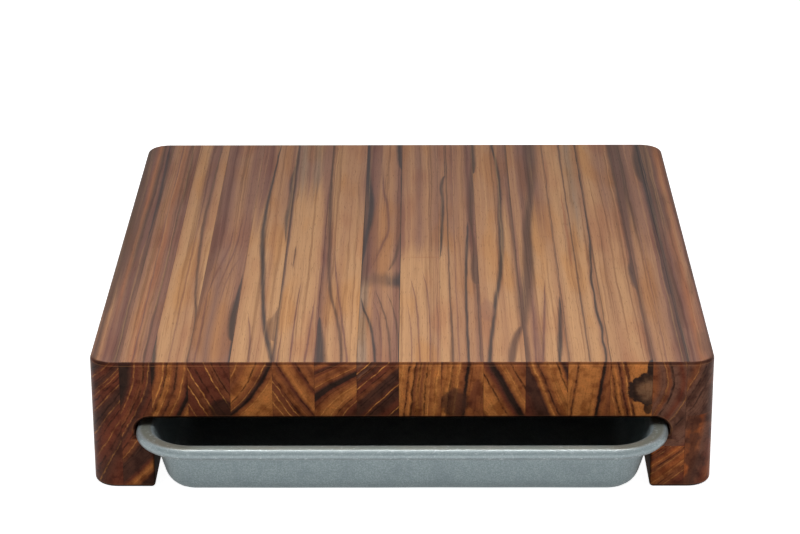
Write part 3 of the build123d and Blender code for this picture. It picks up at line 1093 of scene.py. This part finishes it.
# ================================================================ tray
@dataclass(frozen=True)
class AluminiumFinish:
    """Used sheet aluminium: dull and mottled, with painted light and grime on top of its rim, a painted
    highlight on its outer edge, and polished by handling along it.

    A tint's band is in levels of its noise, or says how far up the surface faces. The other bands are in mm
    over the rim's underside, or inwards from its outline. A noise is its scale per mm, its detail and its
    roughness.
    """

    sheet: RGBA = linear("768486")
    rim: RGBA = linear("849092")
    rim_band: Pair = (-0.6, 1.0)
    speckle_noise: Place = (1.5, 3.0, 0.7)
    speckle: Tint = paint("c3ccd0", 0.35, 0.35, 0.7)
    cloud_noise: Place = (0.09, 4.0, 0.62)
    cloud: Tint = paint("6f7a7f", 0.30, 0.45, 0.72)
    scratch_per_mm: Place = (0.5, 0.5, 1.3)
    scratch_noise: Place = (1.0, 5.0, 0.75)
    scratches: Tint = paint("d3dcde", 0.5, 0.55, 0.66)

    # Painted light and grime on the flat top of the rim, darker and browner at its corners, and a painted
    # highlight on its outer edge.
    top_light_and_grime: Tint = paint("9ba49b", 1.0, 0.955, 0.995)
    light_and_grime_least: float = 0.35
    light_and_grime_most: float = 0.45
    light_and_grime_outer_band: Pair = (1.9, 2.8)
    light_and_grime_inner_band: Pair = (6.4, 4.8)
    corner_browning: Tint = paint("6b5f48", 0.4, 0.9, 0.99)
    corner_band: Pair = (-6.0, 6.0)
    edge_highlight: Tint = paint("ccd5d4", 0.25, 0.7, 0.9)
    highlight_band: Pair = (2.9, 1.8)

    # Painted light on the bead's outer face, and a painted shadow along the line at its foot.
    bead_face_light: Tint = paint("b4c6ca", 0.22, 0.95, 0.8)
    bead_light_band: Pair = (1.4, 2.6)
    bead_foot: Tint = paint("394345", 0.5)
    bead_foot_top: Pair = (3.0, 1.0)
    bead_foot_bottom: Pair = (-0.9, -0.2)
    outward_fade: float = 5.0

    metallic: float = 0.45
    roughness: float = 0.48
    cloud_roughness: float = 0.14
    speckle_roughness: float = 0.10
    rim_polish: float = 0.14
    scuff_per_mm: Place = (0.05, 0.6, 1.6)
    speckle_relief: float = 0.6
    scuff_relief: float = 0.4
    relief_strength: float = 0.18
    relief_depth: float = 0.0002

    def build(self, rim_bottom: float, corner_radius: float) -> bpy.types.Material:
        """Make the material.

        Args:
            rim_bottom: The height of the rim's underside, in mm.
            corner_radius: The radius of the rim's corners in plan, in mm.

        Returns:
            The material.
        """
        material, graph = new_material("dull_aluminium")
        coordinates = graph.add("ShaderNodeTexCoord")
        x, y, z = (part / MM for part in graph.split(coordinates.out("Object")))
        in_mm = graph.vector(x, y, z)
        speckle = graph.noise(in_mm, *self.speckle_noise)
        cloud = graph.noise(in_mm, *self.cloud_noise)
        scuff, scratches = (graph.vector(*(part * per_mm for part, per_mm in zip((x, y, z), stretch)))
                            for stretch in (self.scuff_per_mm, self.scratch_per_mm))
        scratches = graph.noise(scratches, *self.scratch_noise)

        over_rim = z - rim_bottom
        on_rim = over_rim.rise(*self.rim_band)
        colour = graph.blend(on_rim, self.sheet, self.rim)
        colour = self.speckle.over(colour, self.speckle.shown(speckle))
        colour = self.cloud.over(colour, self.cloud.shown(cloud))
        facing = graph.split(coordinates.out("Normal"))
        colour = self.rim_top(colour, (x, y), facing[2], on_rim, corner_radius)
        colour = self.bead(colour, (x, y, over_rim), facing)
        colour = self.scratches.over(colour, self.scratches.shown(scratches) * on_rim)

        roughness = self.roughness + self.cloud_roughness * (cloud - 0.5)
        roughness = roughness + self.speckle_roughness * (speckle - 0.5) - self.rim_polish * on_rim
        relief = self.speckle_relief * speckle + self.scuff_relief * graph.noise(scuff, 1.0, 3.0)
        graph.end_in({
            "Base Color": colour,
            "Metallic": self.metallic,
            "Roughness": roughness,
            "Normal": graph.bump(relief, self.relief_strength, self.relief_depth),
        })
        return material

    def rim_top(self, colour: Signal, place: tuple[Signal, Signal], upward: Signal, on_rim: Signal,
                corner_radius: float) -> Signal:
        """Lay painted light and grime on the flat of the rim, darker and browner at its corners, and a
        painted highlight on its outer edge.

        Args:
            colour: The sheet's colour.
            place: Where the point lies to the right and to the back, in mm.
            upward: How far the surface faces up.
            on_rim: Where the rim is.
            corner_radius: The radius of the rim's corners in plan, in mm.

        Returns:
            The colour.
        """
        low, high = (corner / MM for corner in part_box("tray_pan"))
        middle = (low.y + high.y) / 2
        past_side = abs(place[0]) - (high.x - corner_radius)
        past_end = abs(place[1] - middle) - (high.y - middle - corner_radius)
        beyond = (past_side.most(0.0) ** 2.0 + past_end.most(0.0) ** 2.0).root()
        inset = corner_radius - beyond - past_side.most(past_end).least(0.0)

        # Painted light, with a grimy tint, on the rim's upward-facing flat top.
        flat = inset.rise(*self.light_and_grime_outer_band) * inset.rise(*self.light_and_grime_inner_band)
        lit_and_grimy = on_rim * (self.light_and_grime_least + self.light_and_grime_most * flat)
        colour = self.top_light_and_grime.over(colour, self.top_light_and_grime.shown(upward) * lit_and_grimy)
        # Darker and browner on the upward-facing flat top of the rim at its corners.
        in_corner = on_rim * past_side.rise(*self.corner_band)
        colour = self.corner_browning.over(colour, self.corner_browning.shown(upward) * in_corner)
        # Painted highlight along the rim's rounded outer edge.
        on_edge = on_rim * inset.rise(*self.highlight_band)
        return self.edge_highlight.over(colour, self.edge_highlight.shown(upward) * on_edge)

    def bead(self, colour: Signal, place: tuple[Signal, Signal, Signal],
             facing: tuple[Signal, Signal, Signal]) -> Signal:
        """Paint light on the bead's outer face, and paint a shadow along the line at its foot.

        Args:
            colour: The sheet's colour.
            place: Where the point lies to the right, to the back and over the rim's underside, in mm.
            facing: The surface's direction.

        Returns:
            The colour.
        """
        x, y, over_rim = place
        low, high = (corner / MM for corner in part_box("tray_pan"))
        outward = facing[0] * x + facing[1] * (y - (low.y + high.y) / 2)
        outward = outward.rise(0.0, self.outward_fade)
        # Painted light on the bead's outer, side-facing face.
        on_face = over_rim.rise(*self.bead_light_band) * outward
        colour = self.bead_face_light.over(colour, on_face * self.bead_face_light.shown(facing[2]))
        # Painted shadow along the foot of the bead.
        foot = over_rim.rise(*self.bead_foot_top) * over_rim.rise(*self.bead_foot_bottom)
        return self.bead_foot.over(colour, foot * outward)


@dataclass(frozen=True)
class WireFinish:
    """Bright drawn steel wire, with faint marks whose noise is its scale per mm, detail and roughness."""

    base: RGBA = linear("b9b7b2")
    mark: Tint = paint("7d7c79", 0.4, 0.4, 0.7)
    mark_noise: Place = (0.9, 3.0, 0.6)
    roughness: float = 0.24
    mark_roughness: float = 0.12

    def build(self) -> bpy.types.Material:
        """Make the material.

        Returns:
            The material.
        """
        material, graph = new_material("drawn_steel")
        place = graph.add("ShaderNodeTexCoord").out("Object")
        per_mm, detail, roughness = self.mark_noise
        marks = graph.noise(place, per_mm / MM, detail, roughness)
        graph.end_in({
            "Base Color": self.mark.over(self.base, self.mark.shown(marks)),
            "Metallic": 1.0,
            "Roughness": self.roughness + self.mark_roughness * marks,
        })
        return material


@dataclass
class Tray:
    """The pressed tray, one sheet with a leaning wall and a rim rolled over a wire, at its packed sizes."""

    sheet: float = 1.0 * MM
    rim_corner_radius: float = 27.3 * MM
    rim_overhang: float = 8.2 * MM
    wall_lean: float = math.radians(17.0)
    floor_corner_radius: float = 1.2 * MM
    shoulder_radius: float = 1.9 * MM
    foot_radius: float = 10.5 * MM
    curl_radius: float = 1.98 * MM
    curl_width: float = 5.6 * MM
    bead_height: float = 5.0 * MM
    arc_steps: int = 9
    edge_steps: int = 6
    corner_steps: int = 22
    side_steps: int = 30
    waviness: float = 0.10 * MM
    wave_starts_at: float = 0.9
    waves: tuple[Place, ...] = ((0.31, 0.7, 1.0), (0.83, 2.1, 0.6))
    low: Vector = field(default_factory=lambda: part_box("tray_pan")[0])
    high: Vector = field(default_factory=lambda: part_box("tray_pan")[1])

    def middle_line(self) -> tuple[list[Vector], list[float]]:
        """Work out the middle line of the sheet's section.

        Returns:
            Its corners as (inset from the rim's outline, height), and the radii of those between its ends.
        """
        rim_bottom = self.high.z - self.bead_height
        sheet_top = self.high.z - self.sheet / 2
        sheet_bottom = self.low.z + self.sheet / 2
        wall_inset = self.rim_overhang + self.sheet / 2 / math.cos(self.wall_lean)
        shoulder = wall_inset - (sheet_top - rim_bottom) * math.tan(self.wall_lean)
        foot = wall_inset + (rim_bottom - sheet_bottom) * math.tan(self.wall_lean)
        floor_edge = self.rim_corner_radius - self.floor_corner_radius
        curl = self.sheet / 2
        corners = [
            (floor_edge, sheet_bottom),
            (foot, sheet_bottom),
            (shoulder, sheet_top),
            (curl, sheet_top),
            (curl, rim_bottom + curl),
            (self.curl_width, rim_bottom + curl),
        ]
        radii = [self.foot_radius, self.shoulder_radius, self.curl_radius, self.curl_radius]
        return [Vector(corner) for corner in corners], radii

    def rounded(self) -> list[tuple[Vector, Vector]]:
        """Round the corners of the middle line.

        Returns:
            Its points, each with the normal on the tray's inner side.
        """
        corners, radii = self.middle_line()

        def turned(direction: Vector) -> Vector:
            """Return the normal on the tray's inner side."""
            return Vector((direction.y, -direction.x))

        first = (corners[1] - corners[0]).normalized()
        line = [(corners[0], turned(first))]
        for number, radius in enumerate(radii):
            before, corner, after = corners[number:number + 3]
            arriving, leaving = (corner - before).normalized(), (after - corner).normalized()
            turn = arriving.angle(leaving)
            start = corner - arriving * radius * math.tan(turn / 2)
            hand = math.copysign(1.0, arriving.cross(leaving))
            side = Vector((-arriving.y, arriving.x)) * hand
            centre = start + side * radius
            for step in range(self.arc_steps + 1):
                rotation = Matrix.Rotation(hand * turn * step / self.arc_steps, 2)
                line.append((centre + rotation @ (-side * radius), turned(rotation @ arriving)))
        last = (corners[-1] - corners[-2]).normalized()
        line.append((corners[-1], turned(last)))
        return line

    def section(self) -> list[Vector]:
        """Work out the outline of the sheet's section.

        Returns:
            A ring of (inset, height) points, from the tray's inside to its outside.
        """
        line = self.rounded()
        half = self.sheet / 2
        inner = [point + normal * half for point, normal in line]
        outer = [point - normal * half for point, normal in line]
        tip, normal = line[-1]
        along = Vector((-normal.y, normal.x))
        angles = [math.pi * step / self.edge_steps for step in range(1, self.edge_steps)]
        rounding = [tip + (normal * math.cos(angle) + along * math.sin(angle)) * half for angle in angles]
        return inner + rounding + outer[::-1]

    def stations(self) -> list[tuple[Vector, Vector]]:
        """Lay the path along which the section is swept round the tray.

        Returns:
            The centre of the rim's corner, or the point level with it, and the way outward, at each step.
        """
        middle = (self.low + self.high) / 2
        half = (self.high - self.low) / 2
        reach = Vector((half.x - self.rim_corner_radius, half.y - self.rim_corner_radius))
        quarters = ((1, 1), (-1, 1), (-1, -1), (1, -1))
        centres = [Vector((middle.x + sx * reach.x, middle.y + sy * reach.y)) for sx, sy in quarters]
        path: list[tuple[Vector, Vector]] = []
        for number, centre in enumerate(centres):
            for step in range(self.corner_steps + 1):
                angle = math.pi / 2 * (number + step / self.corner_steps)
                path.append((centre, Vector((math.cos(angle), math.sin(angle)))))
            following = centres[(number + 1) % len(centres)]
            outward = path[-1][1]
            for step in range(1, self.side_steps):
                path.append((centre.lerp(following, step / self.side_steps), outward))
        return path

    def wave(self, station: int, inset: float) -> float:
        """Work out how far the sheet stands off its true shape. The rim's edge stays true.

        Args:
            station: The step of the path.
            inset: How far in from the rim's outline, in metres.

        Returns:
            The distance in metres.
        """
        depth = min(1.0, max(0.0, inset / self.rim_overhang - self.wave_starts_at))
        swing = sum(share * math.sin(station * turn + phase) for turn, phase, share in self.waves)
        return self.waviness * depth * swing / sum(share for _, _, share in self.waves)

    def build(self, finish: AluminiumFinish) -> bpy.types.Object:
        """Sweep the section round the tray and close its floor.

        Args:
            finish: The sheet's finish.

        Returns:
            The tray's shell.
        """
        ring, path = self.section(), self.stations()
        points: list[Vector] = []
        for station, (centre, outward) in enumerate(path):
            for inset, height in ring:
                spread = self.rim_corner_radius - inset - self.wave(station, inset)
                x, y = centre.x + outward.x * spread, centre.y + outward.y * spread
                points.append(Vector((x, y, height)))
        width, length = len(ring), len(path)
        faces: list[tuple[int, ...]] = []
        for station in range(length):
            here, there = station * width, (station + 1) % length * width
            for spot in range(width - 1):
                faces.append((here + spot, there + spot, there + spot + 1, here + spot + 1))
        faces.append(tuple(station * width for station in reversed(range(length))))
        faces.append(tuple(station * width + width - 1 for station in range(length)))

        mesh = bpy.data.meshes.new("tray_shell")
        mesh.from_pydata(points, [], faces)
        mesh.validate()
        mesh.shade_smooth()
        shell = bpy.data.objects.new("tray_shell", mesh)
        bpy.context.scene.collection.objects.link(shell)
        dress(shell, finish.build((self.high.z - self.bead_height) / MM, self.rim_corner_radius / MM))
        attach(shell, "tray")
        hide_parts("tray_pan")
        log.info("tray_shell built with %d faces", len(faces))
        return shell

    def dress_wire(self, finish: WireFinish) -> None:
        """Give the rim's wire its finish.

        Args:
            finish: The finish.
        """
        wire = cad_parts["rim_wire"]
        dress(wire, finish.build())
        log.info("rim_wire dressed")


# ================================================================ studio
@dataclass(frozen=True)
class Viewpoint:
    """The photograph's viewpoint."""

    place: Place = (0.00786, -1.24125, 0.5407)
    pitch: float = math.radians(21.42)
    yaw: float = math.radians(-0.44)
    roll: float = math.radians(0.235)
    lens: float = 120.33
    sensor_width: float = 36.0

    def build(self) -> None:
        """Make the camera, and make it the scene's."""
        flat = math.cos(self.pitch)
        ahead = Vector((math.sin(self.yaw) * flat, math.cos(self.yaw) * flat, -math.sin(self.pitch)))
        right = Vector((math.cos(self.yaw), -math.sin(self.yaw), 0.0))
        below = ahead.cross(right)
        rolled_right = math.cos(self.roll) * right + math.sin(self.roll) * below
        rolled_below = math.cos(self.roll) * below - math.sin(self.roll) * right
        data = bpy.data.cameras.new("photo_view")
        data.lens = self.lens
        data.sensor_width = self.sensor_width
        camera = bpy.data.objects.new("photo_view", data)
        columns = Matrix((rolled_right, -rolled_below, -ahead)).transposed()
        camera.matrix_world = Matrix.Translation(self.place) @ columns.to_4x4()
        bpy.context.scene.collection.objects.link(camera)
        bpy.context.scene.camera = camera


class Rays(Enum):
    """The kind of rays that a light is there for."""

    DIFFUSE = "soft light on the object"
    GLOSSY = "a reflection in it"


@dataclass(frozen=True)
class Softbox:
    """One soft light that looks at the board."""

    name: str
    place: Place
    size: Pair
    watts: float
    rays: Rays

    def build(self) -> None:
        """Make the light."""
        data = bpy.data.lights.new(self.name, "AREA")
        data.shape = "RECTANGLE"
        data.size, data.size_y = self.size
        data.energy = self.watts
        light = bpy.data.objects.new(self.name, data)
        light.location = self.place
        light.rotation_mode = "QUATERNION"
        light.rotation_quaternion = (-Vector(self.place)).to_track_quat("-Z", "Y")
        light.visible_camera = False
        light.visible_diffuse = self.rays is Rays.DIFFUSE
        light.visible_glossy = self.rays is Rays.GLOSSY
        bpy.context.scene.collection.objects.link(light)


@dataclass(frozen=True)
class Studio:
    """A plain pale floor in soft light, with white all round where it is seen straight or in a reflection.

    A glow is how white the room is in reflections, in a band of directions. A band is a pair of parts of a
    direction: where the glow starts to change, and where it has changed.
    """

    lights: tuple[Softbox, ...] = (
        Softbox("key_softbox", (0.0, -0.21, 0.49), (0.36, 0.36), 2.44, Rays.DIFFUSE),
        Softbox("rear_softbox", (0.0, 0.30, 0.35), (0.4, 0.1), 0.13, Rays.DIFFUSE),
        Softbox("rim_strip", (0.0, 0.30, 0.62), (0.9, 0.05), 4.2, Rays.GLOSSY),
    )
    room_light: float = 0.18
    high_glow: float = 0.55
    high_band: Pair = (0.2, 0.6)
    front_glow: float = 0.55
    front_band: Pair = (0.2, -0.3)
    horizon_band: Pair = (-0.05, 0.1)
    rear_glow: float = 0.6
    rear_band: Pair = (0.3, 0.7)
    floor_reach: float = 6.0
    floor_gap: float = 0.1 * MM
    floor_grey: float = 0.9
    floor_glow: float = 0.95
    floor_shine: float = 0.55
    floor_light: float = 0.12

    def build(self) -> None:
        """Light the object and lay the floor."""
        for light in self.lights:
            light.build()
        self.build_world()
        self.build_floor()
        bpy.context.scene.view_settings.view_transform = "Standard"

    def build_world(self) -> None:
        """Make the room: white to the eye and in reflections, and dimmer as a light."""
        world = bpy.data.worlds.new("white_room")
        world.use_nodes = True
        graph = ShaderGraph(world.node_tree)
        ray = graph.add("ShaderNodeLightPath")
        _, back, up = graph.split(graph.add("ShaderNodeTexCoord").out("Generated"))
        reflected = 1.0 - (1.0 - self.high_glow) * up.rise(*self.high_band)
        in_front = back.rise(*self.front_band) * up.rise(*self.horizon_band)
        reflected = reflected * (1.0 - (1.0 - self.front_glow) * in_front)
        reflected = reflected * (1.0 - (1.0 - self.rear_glow) * back.rise(*self.rear_band))
        seen = ray.out("Is Glossy Ray").most(ray.out("Is Transmission Ray")) * reflected
        seen = seen.most(ray.out("Is Camera Ray"))
        strength = self.room_light + (1.0 - self.room_light) * seen
        room = graph.add("ShaderNodeBackground", {}, {"Color": WHITE, "Strength": strength})
        graph.add("ShaderNodeOutputWorld", {}, {"Surface": room})
        bpy.context.scene.world = world

    def build_floor(self) -> None:
        """Lay the floor, which keeps the object's shadow."""
        reach, height = self.floor_reach, -self.floor_gap
        corners = [(x * reach, y * reach, height) for x, y in ((-1, -1), (1, -1), (1, 1), (-1, 1))]
        mesh = bpy.data.meshes.new("pale_floor")
        mesh.from_pydata(corners, [], [(0, 1, 2, 3)])
        floor = bpy.data.objects.new("pale_floor", mesh)
        bpy.context.scene.collection.objects.link(floor)
        material, graph = new_material("pale_floor")
        ray = graph.add("ShaderNodeLightPath")
        grey = (self.floor_grey, self.floor_grey, self.floor_grey, 1.0)
        matt = graph.add("ShaderNodeBsdfDiffuse", {}, {"Color": grey})
        strength = self.floor_light + (self.floor_glow - self.floor_light) * ray.out("Is Camera Ray")
        strength = strength + (self.floor_shine - self.floor_light) * ray.out("Is Glossy Ray")
        glow = graph.add("ShaderNodeEmission", {}, {"Color": WHITE, "Strength": strength})
        lit = graph.add("ShaderNodeAddShader", {}, {0: matt, 1: glow})
        graph.add("ShaderNodeOutputMaterial", {}, {"Surface": lit})
        dress(floor, material)


def main() -> None:
    """Build the view, the board and the tray in order."""
    logging.basicConfig(level=logging.INFO, format="%(name)s: %(message)s")
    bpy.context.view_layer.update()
    Viewpoint().build()
    Studio().build()
    Board(TeakFinish()).dress()
    tray = Tray()
    tray.build(AluminiumFinish())
    tray.dress_wire(WireFinish())


if __name__ == "__main__":
    main()
